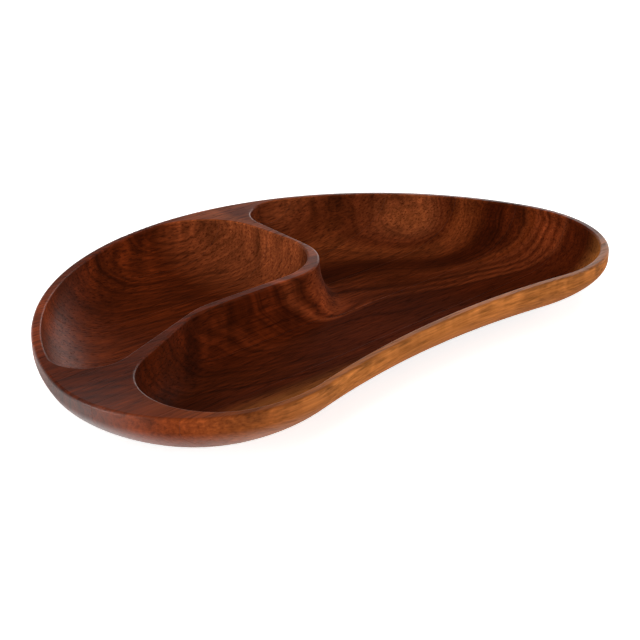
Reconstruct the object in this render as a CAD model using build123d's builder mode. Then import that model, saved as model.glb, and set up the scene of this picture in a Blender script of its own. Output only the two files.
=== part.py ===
"""Chip and dip server: a kidney-shaped dish carved from an edge-glued acacia panel.

X runs along the dish, +Y points to its back, +Z is up. The origin is the middle of
the base, under the middle of the rim. All sizes are millimetres, angles are degrees.
"""

import os
from math import atan2, cos, degrees, radians, sin, tan

from build123d import *

# Overall size, and the shape of the rim seen from above
length = 400.0
width = 257.0
height = 39.5
lobe_radius = 82.0  # the two rounded ends
waist_depth = 11.5  # how far the front is drawn in between them

# Outside of the dish
rim_band = 7.0  # upright band just below the rim
base_inset = 48.0  # from the rim in to the flat base
hull_fullness = 0.3  # 0 gives a straight slope, 0.55 nearly an ellipse
base_rise = 4.0  # lifts the curve's last stretch, so that it meets the base at an angle

# Rim and divider, all flush at the top
rim_width = 5.5
rim_outer_round = 1.8
rim_inner_round = 1.2
divider_width = 6.5  # along its straight stretch
divider_side_width = 4.0  # where it runs to the back
divider_offset = 120.6  # from the front of the rim to the middle of the straight stretch

# Both wells: the walls follow an ellipse from upright at the rim to this angle at the floor
well_arc = 90.0
well_levels = 5
widest_round = 0.96  # of the round that would just fill a well's narrow end

# Chip well, which hooks around the divider
chip_floor = 9.0  # wood left under it
chip_floor_forward = 12.0  # how far the floor lies in front of the middle of the rim
chip_rim_run = 44.0  # from the rim in to the floor
chip_divider_run = 16.0  # from the divider out to the floor
chip_corner_offset = 174.8  # from the right end to where the divider turns to the back
chip_corner_radius = 45.0
chip_side_tilt = 7.0  # of the divider's back stretch
chip_bend_offset = 105.0  # from the left end to where the divider bends towards it
chip_bend_radius = 60.0
chip_splay = 26.0
chip_end_radius = 44.0
chip_end_floor_radius = 10.0
chip_back_radius = 32.0
chip_back_floor_radius = 16.0

# Dip well, behind the divider
dip_floor = 10.0
dip_rim_run = 40.0
dip_divider_run = 30.0
dip_corner_radius = 48.0
dip_bend_lead = 8.0  # its edge turns this far before the chip well's does
dip_bend_radius = 50.0
dip_splay = 20.0
dip_tip_radius = 22.0
dip_tip_floor_radius = 3.0
dip_back_radius = 45.0
dip_back_floor_radius = 20.0

# Panel that the dish is carved from
stave_width = 41.0
narrowest_edge = 10.0  # least width of an edge stave at the waist
glue_thickness = 0.2

# Kidney outline: one back arc, two lobes and one waist arc, all tangent
lobe_x = length / 2 - lobe_radius
lobe_y = lobe_radius - width / 2
back_radius = (lobe_x**2 + (width - lobe_radius) ** 2 - lobe_radius**2) / (2 * (width - 2 * lobe_radius))
back_y = width / 2 - back_radius
waist_radius = (lobe_x**2 + (lobe_radius - waist_depth) ** 2 - lobe_radius**2) / (2 * waist_depth)
waist_y = waist_depth - width / 2 - waist_radius
lobe_start = degrees(atan2(lobe_y - back_y, lobe_x))
waist_start = degrees(atan2(lobe_y - waist_y, lobe_x))
lobe_sweep = lobe_start + 180 - waist_start

# Edges of the divider on its two sides
divider_y = divider_offset - width / 2
chip_edge_y = divider_y - divider_width / 2
dip_edge_y = divider_y + divider_width / 2
chip_corner_x = length / 2 - chip_corner_offset
chip_bend_x = chip_bend_offset - length / 2
dip_bend_x = chip_bend_x + dip_bend_lead
dip_side_y = dip_edge_y + dip_corner_radius
chip_side_x = chip_corner_x + (dip_side_y - chip_edge_y) * tan(radians(chip_side_tilt))
dip_side_x = chip_side_x - divider_side_width / cos(radians(chip_side_tilt))
beyond = length + width  # well outside the dish


def kidney_lines():
    """Draws the kidney outline of the rim, from the middle of the back."""
    half_back = 90 - lobe_start
    half_waist = 90 - waist_start
    CenterArc((0, back_y), back_radius, 90, half_back)
    CenterArc((-lobe_x, lobe_y), lobe_radius, 180 - lobe_start, lobe_sweep)
    CenterArc((0, waist_y), waist_radius, 90 + half_waist, -2 * half_waist)
    CenterArc((lobe_x, lobe_y), lobe_radius, lobe_start - lobe_sweep, lobe_sweep)
    CenterArc((0, back_y), back_radius, lobe_start, half_back)


def chip_lines(inset, forward):
    """Draws the kidney drawn in by inset and moved forward, its left lobe running on behind the divider."""
    half_back = 90 - lobe_start
    half_waist = 90 - waist_start
    back = CenterArc((0, back_y - forward), back_radius - inset, lobe_start, half_back)
    CenterArc((lobe_x, lobe_y - forward), lobe_radius - inset, lobe_start - lobe_sweep, lobe_sweep)
    CenterArc((0, waist_y - forward), waist_radius + inset, 90 + half_waist, -2 * half_waist)
    lobe = CenterArc((-lobe_x, lobe_y - forward), lobe_radius - inset, 90, 270 - waist_start)
    Line(back @ 1, lobe @ 0)


def area_behind_edge(edge_y, bend_x, bend_radius, splay, corner_x, corner_radius, tilt, grow):
    """Returns the area behind one edge of the divider, with that edge moved forward by grow."""
    bend = Vector(bend_x + grow * tan(radians(splay / 2)), edge_y - grow)
    corner = Vector(corner_x + grow * tan(radians(45 - tilt / 2)), edge_y - grow)
    left_end = bend - Vector(beyond, 0).rotate(Axis.Z, splay)
    back_end = corner + Vector(0, beyond).rotate(Axis.Z, -tilt)
    radii = (bend_radius - grow, corner_radius + grow)
    with BuildSketch() as area:
        with BuildLine():
            edge = FilletPolyline(left_end, bend, corner, back_end, radius=radii)
            Polyline(edge @ 1, (-beyond, beyond), edge @ 0)
        make_face()
    return area.sketch


def well_profile(level):
    """Returns how far down and how far in a level of a well lies, as shares of the whole way."""
    full = radians(well_arc)
    angle = full * level / (well_levels - 1)
    return sin(angle) / sin(full), (1 - cos(angle)) / (1 - cos(full))


def between(at_rim, at_floor, share):
    """Returns the value a share of the way from the rim to the floor."""
    return at_rim + (at_floor - at_rim) * share


def chip_end_round(inset, forward, grow):
    """Returns the radius that just fills the chip well's left end, between its lobe and the divider."""
    splay = radians(chip_splay)
    across = (chip_bend_x + lobe_x) * sin(splay) - (chip_edge_y - lobe_y + forward) * cos(splay)
    return (lobe_radius - inset - across - grow) / 2


def chip_section(down, inward):
    """Returns one level of the chip well: the kidney less the divider and all behind it."""
    inset = rim_width + chip_rim_run * inward
    forward = chip_floor_forward * inward
    grow = chip_divider_run * inward
    behind = area_behind_edge(
        edge_y=chip_edge_y,
        bend_x=chip_bend_x,
        bend_radius=chip_bend_radius,
        splay=chip_splay,
        corner_x=chip_corner_x,
        corner_radius=chip_corner_radius,
        tilt=chip_side_tilt,
        grow=grow,
    )
    end_radius = between(chip_end_radius, chip_end_floor_radius, inward)
    end_radius = min(end_radius, widest_round * chip_end_round(inset, forward, grow))
    back_radius_here = between(chip_back_radius, chip_back_floor_radius, inward)
    with BuildSketch(Plane.XY.offset(between(height, chip_floor, down))) as section:
        with BuildLine():
            chip_lines(inset, forward)
        make_face()
        add(behind, mode=Mode.SUBTRACT)
        fillet(section.vertices().sort_by(Axis.X)[0], end_radius)
        fillet(section.vertices().sort_by(Axis.Y)[-1], back_radius_here)
    return section.sketch


def dip_section(down, inward):
    """Returns one level of the dip well: the area behind the divider, bounded by the back arc."""
    behind = area_behind_edge(
        edge_y=dip_edge_y,
        bend_x=dip_bend_x,
        bend_radius=dip_bend_radius,
        splay=dip_splay,
        corner_x=dip_side_x,
        corner_radius=dip_corner_radius,
        tilt=0,
        grow=-dip_divider_run * inward,
    )
    tip_radius = between(dip_tip_radius, dip_tip_floor_radius, inward)
    back_radius_here = between(dip_back_radius, dip_back_floor_radius, inward)
    with BuildSketch(Plane.XY.offset(between(height, dip_floor, down))) as section:
        add(behind)
        with Locations((0, back_y)):
            Circle(back_radius - rim_width - dip_rim_run * inward, mode=Mode.INTERSECT)
        fillet(section.vertices().sort_by(Axis.X)[0], tip_radius)
        fillet(section.vertices().sort_by(Axis.Y)[-1], back_radius_here)
    return section.sketch


# The whole dish, before it is divided into the staves that it was glued up from
with BuildPart() as dish:
    with BuildSketch():
        with BuildLine() as rim_line:
            kidney_lines()
        make_face()
    extrude(amount=height)

    # The hull's curve, swept around the rim, takes away the wood below it
    band_z = height - rim_band
    rim_y = width / 2
    base_y = rim_y - base_inset
    outside_y = rim_y + base_inset
    with BuildSketch(Plane.YZ):
        with BuildLine():
            hull = Bezier(
                (rim_y, band_z),
                (rim_y, band_z * (1 - hull_fullness)),
                (rim_y - base_inset * (1 - hull_fullness), base_rise),
                (base_y, 0),
            )
            Polyline(hull @ 1, (base_y, -height), (outside_y, -height), (outside_y, band_z), hull @ 0)
        make_face()
    sweep(path=rim_line.wires()[0], mode=Mode.SUBTRACT)

    # Each well is lofted down through its levels
    profile = [well_profile(level) for level in range(well_levels)]
    loft([chip_section(down, inward) for down, inward in profile], mode=Mode.SUBTRACT)
    loft([dip_section(down, inward) for down, inward in profile], mode=Mode.SUBTRACT)

    rim_top = dish.faces().sort_by(Axis.Z)[-1]
    fillet(rim_top.outer_wire().edges(), rim_outer_round)
    rim_top = dish.faces().sort_by(Axis.Z)[-1]
    fillet([edge for wire in rim_top.inner_wires() for edge in wire.edges()], rim_inner_round)


def stave(name, front, back):
    """Writes the part of the dish between two upright planes across Y as one stave."""
    with BuildPart() as piece:
        add(dish.part)
        with Locations((0, (front + back) / 2, height / 2)):
            Box(beyond, back - front, beyond, mode=Mode.INTERSECT)
    piece.part.label = name
    export_step(piece.part, f"parts/{name}.step")


def glue_line(name, middle):
    """Writes the film of glue that fills one joint, with the outline of the dish there."""
    with BuildPart() as film:
        joint = section(dish.part, section_by=Plane.XZ.offset(-middle))
        extrude(joint, amount=glue_thickness / 2, both=True)
    film.part.label = name
    export_step(film.part, f"parts/{name}.step")


os.makedirs("parts", exist_ok=True)

# Joints run along the dish at even steps to both sides of its middle, counted from the front
outermost_joint = width / 2 - waist_depth - narrowest_edge
joint_pairs = int(outermost_joint / stave_width + 0.5)
joints = [(step + 0.5) * stave_width for step in range(-joint_pairs, joint_pairs)]
stave_edges = [-beyond, *joints, beyond]
for number, (front, back) in enumerate(zip(stave_edges, stave_edges[1:]), start=1):
    stave(f"stave_{number}", front + glue_thickness / 2, back - glue_thickness / 2)
for number, middle in enumerate(joints, start=1):
    glue_line(f"glue_line_{number}", middle)
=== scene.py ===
"""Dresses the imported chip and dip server: oiled acacia staves, their glue lines, studio and camera."""

import logging
import math
from dataclasses import dataclass
from enum import Enum
from typing import Any

import bpy
from mathutils import Euler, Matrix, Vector

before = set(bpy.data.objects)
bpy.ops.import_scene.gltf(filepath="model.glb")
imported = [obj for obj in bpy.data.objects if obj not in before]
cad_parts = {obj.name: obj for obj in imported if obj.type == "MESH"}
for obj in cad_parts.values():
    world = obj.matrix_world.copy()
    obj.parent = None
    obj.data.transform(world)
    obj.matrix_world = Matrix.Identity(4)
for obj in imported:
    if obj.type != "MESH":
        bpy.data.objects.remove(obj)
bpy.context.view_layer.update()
log = logging.getLogger("chip_and_dip_server")

MM = 0.001
NO_END = 1e6  # millimetres, for a reach that has no end within the dish

Span = tuple[float, float]
Triple = tuple[float, float, float]
Tints = tuple[tuple[float, str], ...]
Socket = bpy.types.NodeSocket


def linear(hex_colour: str) -> tuple[float, float, float, float]:
    """Turns an sRGB hex colour into linear RGBA.

    Args:
        hex_colour: Six hex digits, with or without a leading hash.

    Returns:
        Linear red, green, blue and an alpha of 1.
    """
    digits = hex_colour.lstrip("#")
    channels = [int(digits[i : i + 2], 16) / 255 for i in (0, 2, 4)]
    red, green, blue = [c / 12.92 if c <= 0.04045 else ((c + 0.055) / 1.055) ** 2.4 for c in channels]
    return red, green, blue, 1.0


def add_node(
    tree: bpy.types.NodeTree,
    kind: str,
    values: dict[str | int, Any] | None = None,
    links: dict[str | int, Socket] | None = None,
    **settings: Any,
) -> bpy.types.Node:
    """Adds a node with its settings, its constant inputs and its links.

    Args:
        tree: Node tree that gets the node.
        kind: Blender's name for the kind of node.
        values: Constant value of each named or numbered input.
        links: Output that feeds each named or numbered input.
        **settings: Attributes of the node itself.

    Returns:
        The new node.
    """
    node = tree.nodes.new(kind)
    for name, value in settings.items():
        setattr(node, name, value)
    for socket, value in (values or {}).items():
        node.inputs[socket].default_value = value
    for socket, source in (links or {}).items():
        tree.links.new(source, node.inputs[socket])
    return node


class Tone(Enum):
    """How dark a stave was picked from the stack."""

    DARK = 0.92
    MIDDLE = 1.0
    LIGHT = 1.08


@dataclass(frozen=True)
class Place:
    """Where a point of the dish lies in millimetres, and how far its surface faces up."""

    tree: bpy.types.NodeTree
    mm: Socket
    x: Socket
    y: Socket
    z: Socket
    facing: Socket

    @classmethod
    def in_tree(cls, tree: bpy.types.NodeTree) -> "Place":
        """Adds the nodes that read the place.

        Args:
            tree: Node tree that gets them.

        Returns:
            The place, for this tree.
        """
        metres = add_node(tree, "ShaderNodeTexCoord").outputs["Object"]
        mm = add_node(
            tree, "ShaderNodeVectorMath", {1: (1 / MM,) * 3}, {0: metres}, operation="MULTIPLY"
        ).outputs[0]
        axes = add_node(tree, "ShaderNodeSeparateXYZ", links={0: mm}).outputs
        normal = add_node(tree, "ShaderNodeNewGeometry").outputs["Normal"]
        facing = add_node(tree, "ShaderNodeSeparateXYZ", links={0: normal}).outputs["Z"]
        return cls(tree, mm, axes["X"], axes["Y"], axes["Z"], facing)


@dataclass(frozen=True)
class Mottle:
    """Unevenness of the wood: a soft noise, stretched to the real size of what it stands for."""

    size_mm: Triple
    seen: Span = (0.25, 0.75)  # stretch of the noise that is spread over the shades
    shades: Span = (0.0, 1.0)
    detail: float = 1.0
    roughness: float = 0.5

    def add(self, tree: bpy.types.NodeTree, place_mm: Socket) -> Socket:
        """Adds the nodes of the mottle.

        Args:
            tree: Node tree that gets them.
            place_mm: Place in the wood, in millimetres.

        Returns:
            The shade at the place.
        """
        scaled = add_node(tree, "ShaderNodeVectorMath", {1: self.size_mm}, {0: place_mm}, operation="DIVIDE")
        noise = add_node(
            tree,
            "ShaderNodeTexNoise",
            {"Scale": 1.0, "Detail": self.detail, "Roughness": self.roughness},
            {"Vector": scaled.outputs[0]},
        )
        (low, high), (at_low, at_high) = self.seen, self.shades
        shade = add_node(
            tree,
            "ShaderNodeMapRange",
            {"From Min": low, "From Max": high, "To Min": at_low, "To Max": at_high},
            {"Value": noise.outputs[0]},
        )
        return shade.outputs[0]


@dataclass(frozen=True)
class Spot:
    """A spot in the wood whose effect is full in the middle and fades out around it."""

    middle_mm: Triple
    reach_mm: Triple
    amount: float = 1.0

    def add(self, place: Place) -> Socket:
        """Adds the nodes of the spot.

        Args:
            place: Place in the wood, in the tree that gets them.

        Returns:
            The effect at the place.
        """
        tree = place.tree
        away = add_node(tree, "ShaderNodeVectorMath", {1: self.middle_mm}, {0: place.mm}, operation="SUBTRACT")
        reached = add_node(
            tree, "ShaderNodeVectorMath", {1: self.reach_mm}, {0: away.outputs[0]}, operation="DIVIDE"
        )
        around = add_node(tree, "ShaderNodeVectorMath", links={0: reached.outputs[0]}, operation="LENGTH")
        effect = add_node(
            tree,
            "ShaderNodeMapRange",
            {"To Min": self.amount, "To Max": 0.0},
            {"Value": around.outputs["Value"]},
            interpolation_type="SMOOTHSTEP",
        )
        return effect.outputs[0]


@dataclass(frozen=True)
class OiledAcacia:
    """Acacia heartwood, carved, sanded and oiled to a satin gloss.

    The eye sees red-brown growth layers that the carving cuts into long streaks and ovals, paler wood
    towards the front edge, short dark pores along the fibre, and a soft sheen only at low angles.
    """

    # Colour of the growth layers, by how far back they lie in millimetres at the right end
    layers: Tints = (
        (-160.0, "#4a1a07"),
        (-146.0, "#401505"),
        (-128.0, "#481906"),
        (-108.0, "#481806"),
        (-92.0, "#4a1a07"),
        (-80.0, "#421504"),
        (-59.0, "#461706"),
        (-55.0, "#703015"),
        (-51.0, "#501d09"),
        (-47.5, "#703015"),
        (-44.0, "#521e09"),
        (-40.5, "#703015"),
        (-37.0, "#521e09"),
        (-33.0, "#743216"),
        (-29.0, "#562109"),
        (-26.0, "#60280f"),
        (-22.0, "#481907"),
        (-13.0, "#340f03"),
        (3.0, "#360f03"),
        (20.0, "#4e1e09"),
        (32.0, "#5e280f"),
        (52.0, "#602a10"),
        (66.0, "#4e1e0a"),
        (76.0, "#56240f"),
        (86.0, "#683117"),
        (100.0, "#723819"),
    )
    slope: float = 0.3  # how far the layers run to the front, for each millimetre along the dish
    slope_from_mm: float = 185.0
    # Branches once turned the layers at these places, by up to this many millimetres
    swirls: tuple[Spot, ...] = (
        Spot((150.0, 34.0, 0.0), (80.0, 62.0, NO_END), 68.0),
        Spot((-12.0, -14.0, 0.0), (70.0, 26.0, NO_END), 24.0),
    )
    bend: Mottle = Mottle((170.0, 80.0, 45.0), shades=(-12.0, 12.0))
    wave: Mottle = Mottle((70.0, 16.0, 14.0), shades=(-2.5, 2.5))

    # Plain heartwood behind the divider, from left to right in millimetres; its lighter ends at the dip's left
    # end and right wall are partly painted sheen
    plain_wood_and_sheen: Tints = (
        (-150.0, "#702e12"),
        (-100.0, "#501c07"),
        (-25.0, "#501c07"),
        (26.0, "#783a1d"),
    )
    calm_to_mm: Span = (27.0, 36.0)
    calm_depth_mm: Span = (0.0, 24.0)
    dark_middle: str = "#3a1304"  # darkest colour, with little figure, blended in towards the middle of the spot below
    dark_middle_spot: Spot = Spot((76.0, -6.0, 0.0), (86.0, 66.0, NO_END), 0.88)
    streak: Mottle = Mottle((240.0, 3.6, 1.0), (0.3, 0.58), (0.5, 1.2), detail=5.0, roughness=0.62)
    rim_painted_highlight: float = 1.25  # painted highlight: the rim lightened in colour, as its rounded edges catch the light
    rim_mm: Span = (38.4, 39.4)

    sapwood: str = "#9c5d2b"  # along the front edge
    sapwood_left: str = "#682b11"
    sapwood_slope: float = 0.08  # its edge runs to the front, for each millimetre along the dish
    sapwood_depth_mm: Span = (-100.0, -70.0)
    sapwood_along_mm: Span = (-192.0, -85.0)
    sapwood_on_rim: float = 0.6  # share of it on the rim, lowered so the rim top is darker than the front wall: painted shade

    blotch: Mottle = Mottle((32.0, 15.0, 15.0), shades=(0.78, 1.22), roughness=0.6)
    fibre: Mottle = Mottle((42.0, 1.5, 1.5), shades=(0.55, 1.45), detail=2.0, roughness=0.6)
    # Bands across the fibres, which show where a wall inside the wells is steep
    curl: Mottle = Mottle((11.0, 60.0, 90.0), (0.3, 0.7), (-1.0, 1.0), detail=2.0)
    curl_slant: float = -0.75
    curl_share: float = 0.5
    inside_facing: Span = (-0.1, 0.15)
    steep_facing: Span = (0.4, 0.97)

    pore: str = "#240b04"
    pores: Mottle = Mottle((9.0, 1.05, 1.05), (0.57, 0.67))  # wider than real pores, so that they show
    pore_share: float = 0.58
    sapwood_pore_share: float = 0.12
    pore_roughness: float = 0.12  # added to that of the wood around them
    pore_bump: float = 0.3
    pore_depth_mm: float = 0.1

    carved: float = 0.92  # roughness inside the wells
    sanded: float = 0.8  # roughness of the outside
    sanded_facing: Span = (-0.05, 0.2)
    polished: float = 0.38  # roughness of the rim
    rim_edge_mm: Span = (37.8, 38.6)
    polished_left: float = 0.42  # roughness of the left end
    left_end_mm: Span = (-140.0, -80.0)
    gloss: float = 0.14
    gloss_tint: str = "#c97c46"  # oil in the fibres warms the reflection seen straight on
    ior: float = 1.45
    # Oil that dried on the surface, where the left end turns to the front
    oil_film: Spot = Spot((-215.0, -64.0, 0.0), (60.0, 50.0, NO_END))
    oil_film_roughness: float = 0.4

    def _layer_depth(self, place: Place) -> Socket:
        """Adds the nodes of the growth layers' course through the wood.

        Args:
            place: Place in the wood.

        Returns:
            Depth of the layer that the place lies in, in millimetres.
        """
        tree = place.tree
        sloping = add_node(
            tree, "ShaderNodeMath", {1: self.slope}, {0: place.x, 2: place.y}, operation="MULTIPLY_ADD"
        ).outputs[0]
        start = -self.slope * self.slope_from_mm
        depth = add_node(tree, "ShaderNodeMath", {1: start}, {0: sloping}).outputs[0]
        turns = [swirl.add(place) for swirl in self.swirls]
        turns += [mottle.add(tree, place.mm) for mottle in (self.bend, self.wave)]
        for turn in turns:
            depth = add_node(tree, "ShaderNodeMath", links={0: depth, 1: turn}).outputs[0]
        return depth

    def _heartwood(self, place: Place) -> Socket:
        """Adds the nodes of the heartwood: its layers, its plain parts with partly painted sheen at their
        lighter ends, a darker middle, the streaks along it, and the rim lightened as a painted highlight.

        Args:
            place: Place in the wood.

        Returns:
            The heartwood's colour.
        """
        tree = place.tree
        depth = self._layer_depth(place)
        blends = []
        for source, tints in ((depth, self.layers), (place.x, self.plain_wood_and_sheen)):
            first, last = tints[0][0], tints[-1][0]
            ends = {"From Min": first, "From Max": last}
            along = add_node(tree, "ShaderNodeMapRange", ends, {"Value": source})
            ramp = add_node(tree, "ShaderNodeValToRGB", links={0: along.outputs[0]})
            stops = ramp.color_ramp.elements
            stops.remove(stops[1])
            for number, (at_mm, tint) in enumerate(tints):
                share = (at_mm - first) / (last - first)
                stop = stops[0] if number == 0 else stops.new(share)
                stop.position, stop.color = share, linear(tint)
            blends.append(ramp.outputs[0])
        layers, plain_wood_and_sheen = blends

        # Behind the divider the heartwood is plain, with painted sheen in its lighter ends
        to_left, to_back = (
            add_node(
                tree,
                "ShaderNodeMapRange",
                {"From Min": at_none, "From Max": at_full},
                {"Value": source},
                interpolation_type="SMOOTHSTEP",
            ).outputs[0]
            for source, at_none, at_full in (
                (place.x, self.calm_to_mm[1], self.calm_to_mm[0]),
                (place.y, *self.calm_depth_mm),
            )
        )
        behind = add_node(tree, "ShaderNodeMath", links={0: to_left, 1: to_back}, operation="MULTIPLY")
        layered = add_node(
            tree, "ShaderNodeMix", links={0: behind.outputs[0], 6: layers, 7: plain_wood_and_sheen}, data_type="RGBA"
        ).outputs[2]
        # The colour darkens towards the middle of one spot
        darkened = add_node(
            tree,
            "ShaderNodeMix",
            {7: linear(self.dark_middle)},
            {0: self.dark_middle_spot.add(place), 6: layered},
            data_type="RGBA",
        ).outputs[2]

        # Thin streaks follow the layers, and the rim is lightened as a painted highlight of its rounded edges
        along_layer = add_node(tree, "ShaderNodeCombineXYZ", links={"X": place.x, "Y": depth}).outputs[0]
        painted_rim_highlight = add_node(
            tree,
            "ShaderNodeMapRange",
            {"From Min": self.rim_mm[0], "From Max": self.rim_mm[1], "To Min": 1.0, "To Max": self.rim_painted_highlight},
            {"Value": place.z},
        ).outputs[0]
        heartwood = darkened
        for shade in (self.streak.add(tree, along_layer), painted_rim_highlight):
            links = {0: heartwood, "Scale": shade}
            heartwood = add_node(tree, "ShaderNodeVectorMath", links=links, operation="SCALE").outputs[0]
        return heartwood

    def _sapwood_share(self, place: Place) -> Socket:
        """Adds the nodes of the sapwood's spread along the front edge.

        Args:
            place: Place in the wood.

        Returns:
            Share of sapwood in the colour, from 0 to 1.
        """
        tree = place.tree
        slope = self.sapwood_slope
        sloping = add_node(
            tree, "ShaderNodeMath", {1: slope}, {0: place.x, 2: place.y}, operation="MULTIPLY_ADD"
        ).outputs[0]
        at_full, at_none = self.sapwood_depth_mm
        at_front = add_node(
            tree,
            "ShaderNodeMapRange",
            {"From Min": at_full, "From Max": at_none, "To Min": 1.0, "To Max": 0.0},
            {"Value": sloping},
            interpolation_type="SMOOTHSTEP",
        ).outputs[0]
        # Less sapwood on the rim top darkens it against the lit front wall: painted shade
        below, above = self.rim_mm
        below_rim = add_node(
            tree,
            "ShaderNodeMapRange",
            {"From Min": below, "From Max": above, "To Min": 1.0, "To Max": self.sapwood_on_rim},
            {"Value": place.z},
        ).outputs[0]
        share = add_node(tree, "ShaderNodeMath", links={0: at_front, 1: below_rim}, operation="MULTIPLY")
        return share.outputs[0]

    def _curl_shade(self, place: Place) -> Socket:
        """Adds the nodes of the curl, which crosses the fibres at a slant.

        Args:
            place: Place in the wood.

        Returns:
            Shade of the curl, around 1.
        """
        tree = place.tree
        slanted = add_node(
            tree, "ShaderNodeMath", {1: self.curl_slant}, {0: place.y, 2: place.x}, operation="MULTIPLY_ADD"
        ).outputs[0]
        across = add_node(tree, "ShaderNodeCombineXYZ", links={"X": slanted, "Y": place.y, "Z": place.z})
        inside, steep = (
            add_node(
                tree,
                "ShaderNodeMapRange",
                {"From Min": low, "From Max": high, "To Min": at_low, "To Max": at_high},
                {"Value": place.facing},
            ).outputs[0]
            for (low, high), (at_low, at_high) in (
                (self.inside_facing, (0.0, 1.0)),
                (self.steep_facing, (self.curl_share, 0.0)),
            )
        )
        amount = add_node(tree, "ShaderNodeMath", links={0: inside, 1: steep}, operation="MULTIPLY")
        band = self.curl.add(tree, across.outputs[0])
        shade = add_node(
            tree, "ShaderNodeMath", {2: 1.0}, {0: band, 1: amount.outputs[0]}, operation="MULTIPLY_ADD"
        )
        return shade.outputs[0]

    def colour(self, place: Place) -> tuple[Socket, Socket]:
        """Adds the nodes of the wood's figure.

        Args:
            place: Place in the wood.

        Returns:
            The wood's colour, and its pores from 0 to 1.
        """
        tree = place.tree
        heartwood = self._heartwood(place)
        sapwood_share = self._sapwood_share(place)

        # The sapwood is redder towards the left end
        to_right = add_node(
            tree,
            "ShaderNodeMapRange",
            {"From Min": self.sapwood_along_mm[0], "From Max": self.sapwood_along_mm[1]},
            {"Value": place.x},
            interpolation_type="SMOOTHSTEP",
        ).outputs[0]
        pale = add_node(
            tree,
            "ShaderNodeMix",
            {6: linear(self.sapwood_left), 7: linear(self.sapwood)},
            {0: to_right},
            data_type="RGBA",
        ).outputs[2]
        wood = add_node(
            tree, "ShaderNodeMix", links={0: sapwood_share, 6: heartwood, 7: pale}, data_type="RGBA"
        ).outputs[2]

        # Soft blotches, fine fibres that run along the dish, and curl
        shades = [mottle.add(tree, place.mm) for mottle in (self.blotch, self.fibre)]
        shades.append(self._curl_shade(place))
        shaded = wood
        for shade in shades:
            links = {0: shaded, "Scale": shade}
            shaded = add_node(tree, "ShaderNodeVectorMath", links=links, operation="SCALE").outputs[0]

        # Pores, which hardly show in the sapwood
        pores = self.pores.add(tree, place.mm)
        share = add_node(
            tree,
            "ShaderNodeMapRange",
            {"To Min": self.pore_share, "To Max": self.sapwood_pore_share},
            {"Value": sapwood_share},
        ).outputs[0]
        dark = add_node(tree, "ShaderNodeMath", links={0: pores, 1: share}, operation="MULTIPLY").outputs[0]
        pored = add_node(
            tree, "ShaderNodeMix", {7: linear(self.pore)}, {0: dark, 6: shaded}, data_type="RGBA"
        ).outputs[2]
        return pored, pores

    def _roughness(self, place: Place, pores: Socket) -> Socket:
        """Adds the nodes of the roughness, which is highest inside the wells.

        Args:
            place: Place on the dish.
            pores: Pores of the wood, from 0 to 1.

        Returns:
            The roughness.
        """
        tree = place.tree
        outside, rim, left_end = (
            add_node(
                tree,
                "ShaderNodeMapRange",
                {"From Min": at_smooth, "From Max": at_carved, "To Min": smoothest, "To Max": self.carved},
                {"Value": source},
            ).outputs[0]
            for source, smoothest, (at_smooth, at_carved) in (
                (place.facing, self.sanded, self.sanded_facing),
                (place.z, self.polished, self.rim_edge_mm[::-1]),
                (place.x, self.polished_left, self.left_end_mm),
            )
        )
        rough = outside
        for smoother in (rim, left_end):
            links = {0: rough, 1: smoother}
            rough = add_node(tree, "ShaderNodeMath", links=links, operation="MINIMUM").outputs[0]
        pored = add_node(
            tree, "ShaderNodeMath", {1: self.pore_roughness}, {0: pores, 2: rough}, operation="MULTIPLY_ADD"
        )
        return pored.outputs[0]

    def material(self, name: str, tone: Tone) -> bpy.types.Material:
        """Makes the wood of one stave.

        Args:
            name: Name of the material.
            tone: How dark the stave is.

        Returns:
            The finished material.
        """
        material = bpy.data.materials.new(name)
        material.use_nodes = True
        tree = material.node_tree
        tree.nodes.clear()
        place = Place.in_tree(tree)
        colour, pores = self.colour(place)
        toned = add_node(tree, "ShaderNodeVectorMath", {"Scale": tone.value}, {0: colour}, operation="SCALE")
        bump = add_node(
            tree,
            "ShaderNodeBump",
            {"Strength": self.pore_bump, "Distance": self.pore_depth_mm * MM},
            {"Height": pores},
            invert=True,
        )
        shader = add_node(
            tree,
            "ShaderNodeBsdfPrincipled",
            {
                "IOR": self.ior,
                "Specular IOR Level": self.gloss,
                "Specular Tint": linear(self.gloss_tint),
                "Coat Roughness": self.oil_film_roughness,
                "Coat IOR": self.ior,
            },
            {
                "Base Color": toned.outputs[0],
                "Roughness": self._roughness(place, pores),
                "Coat Weight": self.oil_film.add(place),
                "Normal": bump.outputs[0],
            },
        )
        add_node(tree, "ShaderNodeOutputMaterial", links={"Surface": shader.outputs[0]})
        return material


@dataclass(frozen=True)
class CuredGlue:
    """Brown wood glue, squeezed thin and sanded flush: a faint line in the tone of the wood around it."""

    wood: OiledAcacia
    shade: float = 0.8
    roughness: float = 0.5
    gloss: float = 0.12

    def material(self, name: str) -> bpy.types.Material:
        """Makes the glue.

        Args:
            name: Name of the material.

        Returns:
            The finished material.
        """
        material = bpy.data.materials.new(name)
        material.use_nodes = True
        tree = material.node_tree
        tree.nodes.clear()
        wood, _ = self.wood.colour(Place.in_tree(tree))
        colour = add_node(tree, "ShaderNodeVectorMath", {"Scale": self.shade}, {0: wood}, operation="SCALE")
        shader = add_node(
            tree,
            "ShaderNodeBsdfPrincipled",
            {"Roughness": self.roughness, "Specular IOR Level": self.gloss},
            {"Base Color": colour.outputs[0]},
        )
        add_node(tree, "ShaderNodeOutputMaterial", links={"Surface": shader.outputs[0]})
        return material


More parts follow.
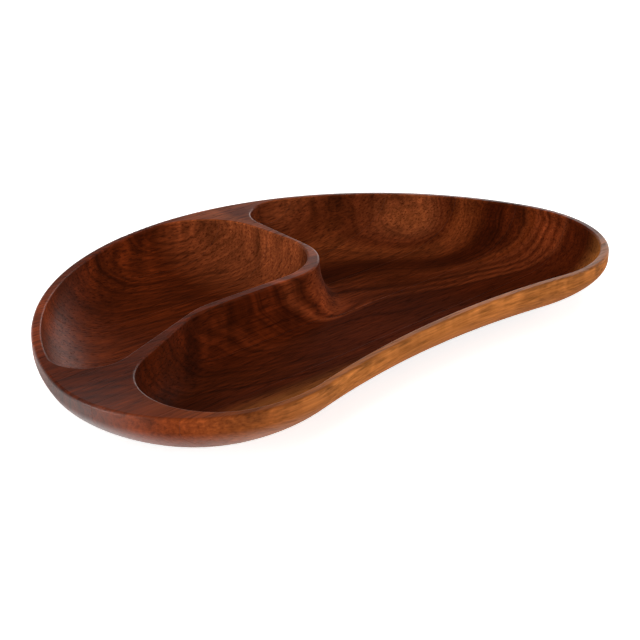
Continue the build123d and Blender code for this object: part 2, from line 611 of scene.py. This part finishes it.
@dataclass
class StavePanel:
    """The edge-glued staves that the dish is carved from."""

    finish: OiledAcacia
    tones: tuple[Tone, ...] = (
        Tone.LIGHT,
        Tone.MIDDLE,
        Tone.DARK,
        Tone.LIGHT,
        Tone.MIDDLE,
        Tone.DARK,
        Tone.MIDDLE,
    )

    def dress(self) -> None:
        """Gives each stave its wood."""
        for number, tone in enumerate(self.tones, start=1):
            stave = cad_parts[f"stave_{number}"]
            stave.data.materials.clear()
            stave.data.materials.append(self.finish.material(f"oiled_acacia_{number}", tone))
            log.info("stave_%d dressed, %s", number, tone.name.lower())


@dataclass
class GlueLines:
    """The films of glue between the staves."""

    finish: CuredGlue
    count: int = 6

    def dress(self) -> None:
        """Gives every film the same glue."""
        glue = self.finish.material("cured_wood_glue")
        for number in range(1, self.count + 1):
            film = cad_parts[f"glue_line_{number}"]
            film.data.materials.clear()
            film.data.materials.append(glue)
            log.info("glue_line_%d dressed", number)


@dataclass(frozen=True)
class Softbox:
    """A rectangular studio light that faces the dish, with angles in degrees and sizes in metres."""

    name: str
    azimuth: float
    elevation: float
    distance: float
    width: float
    height: float
    watts: float

    def build(self, target: Vector) -> None:
        """Adds the light, turned to its target.

        Args:
            target: Point that the light faces.
        """
        around, up = math.radians(self.azimuth), math.radians(self.elevation)
        offset = Vector((math.sin(around) * math.cos(up), -math.cos(around) * math.cos(up), math.sin(up)))
        data = bpy.data.lights.new(self.name, "AREA")
        data.shape = "RECTANGLE"
        data.size, data.size_y = self.width, self.height
        data.energy = self.watts
        light = bpy.data.objects.new(self.name, data)
        light.location = target + offset * self.distance
        light.rotation_euler = (-offset).to_track_quat("-Z", "Y").to_euler()
        bpy.context.scene.collection.objects.link(light)
        log.info("%s placed", self.name)


@dataclass
class Studio:
    """White floor, soft lights and the camera at the photograph's angle."""

    floor_side: float = 8.0
    floor_drop_mm: float = 0.3
    floor_colour: str = "#f4f2ef"
    floor_lift: float = 0.75  # glow that only the camera and reflections see
    # Brightness of the surroundings, by elevation in degrees
    sky: tuple[Span, ...] = ((0.0, 1.0), (6.0, 1.0), (11.0, 0.4), (16.0, 0.12), (90.0, 0.12))
    lights_face_mm: Triple = (0.0, 0.0, 20.0)
    lights: tuple[Softbox, ...] = (
        Softbox("key_softbox", -75.0, 38.0, 1.6, 1.4, 1.2, 13.0),
        Softbox("top_softbox", 20.0, 80.0, 1.6, 1.4, 1.4, 11.0),
        Softbox("front_card", 16.0, 15.0, 1.7, 1.8, 0.45, 12.0),
        Softbox("left_card", -108.0, 8.0, 1.7, 1.0, 0.4, 10.0),
        Softbox("back_card", 117.0, 11.0, 2.0, 1.3, 0.45, 7.0),
    )
    target_mm: Triple = (-50.19, -66.66, 39.5)
    distance_mm: float = 664.6
    pitch: float = 23.74
    heading: float = 44.64
    lens_mm: float = 67.5
    sensor_mm: float = 36.0

    def build(self) -> None:
        """Builds the floor, the world, the lights and the camera."""
        self._floor()
        self._world()
        for light in self.lights:
            light.build(Vector(self.lights_face_mm) * MM)
        self._camera()

    def _floor(self) -> None:
        """Adds the floor, white to the eye and still able to hold a shadow."""
        bpy.ops.object.select_all(action="DESELECT")
        bpy.ops.mesh.primitive_plane_add(size=self.floor_side, location=(0, 0, -self.floor_drop_mm * MM))
        floor = bpy.context.object
        floor.name = "floor"
        material = bpy.data.materials.new("white_paper_sweep")
        material.use_nodes = True
        tree = material.node_tree
        tree.nodes.clear()
        rays = add_node(tree, "ShaderNodeLightPath")
        seen = add_node(
            tree,
            "ShaderNodeMath",
            links={0: rays.outputs["Is Camera Ray"], 1: rays.outputs["Is Glossy Ray"]},
            operation="MAXIMUM",
        )
        lift = add_node(
            tree, "ShaderNodeMath", {1: self.floor_lift}, {0: seen.outputs[0]}, operation="MULTIPLY"
        )
        paper = add_node(tree, "ShaderNodeBsdfDiffuse", {"Color": linear(self.floor_colour)})
        glow = add_node(tree, "ShaderNodeEmission", links={"Strength": lift.outputs[0]})
        both = add_node(tree, "ShaderNodeAddShader", links={0: paper.outputs[0], 1: glow.outputs[0]})
        add_node(tree, "ShaderNodeOutputMaterial", links={"Surface": both.outputs[0]})
        floor.data.materials.append(material)
        log.info("floor placed")

    def _world(self) -> None:
        """Sets the soft light from all around: a bright sweep near the horizon under a dimmer ceiling."""
        world = bpy.data.worlds.new("studio")
        world.use_nodes = True
        bpy.context.scene.world = world
        tree = world.node_tree
        tree.nodes.clear()
        direction = add_node(tree, "ShaderNodeTexCoord").outputs["Generated"]
        up = add_node(tree, "ShaderNodeSeparateXYZ", links={0: direction}).outputs["Z"]
        ramp = add_node(tree, "ShaderNodeValToRGB", links={0: up})
        stops = ramp.color_ramp.elements
        stops.remove(stops[1])
        for number, (at_elevation, level) in enumerate(self.sky):
            place = math.sin(math.radians(at_elevation))
            stop = stops[0] if number == 0 else stops.new(place)
            stop.position, stop.color = place, (level, level, level, 1.0)
        background = add_node(tree, "ShaderNodeBackground", links={"Color": ramp.outputs[0]})
        add_node(tree, "ShaderNodeOutputWorld", links={"Surface": background.outputs[0]})

    def _camera(self) -> None:
        """Adds the camera."""
        data = bpy.data.cameras.new("camera")
        data.sensor_width = self.sensor_mm
        data.lens = self.lens_mm
        camera = bpy.data.objects.new("camera", data)
        turn = Euler((math.radians(90 - self.pitch), 0, -math.radians(self.heading)))
        back = turn.to_matrix() @ Vector((0, 0, 1))
        camera.location = (Vector(self.target_mm) + back * self.distance_mm) * MM
        camera.rotation_euler = turn
        bpy.context.scene.collection.objects.link(camera)
        bpy.context.scene.camera = camera
        log.info("camera placed")


def main() -> None:
    """Dresses the dish, then builds the studio around it."""
    logging.basicConfig(level=logging.INFO)
    StavePanel(OiledAcacia()).dress()
    GlueLines(CuredGlue(OiledAcacia())).dress()
    Studio().build()
    bpy.context.scene.view_settings.view_transform = "Standard"


if __name__ == "__main__":
    main()
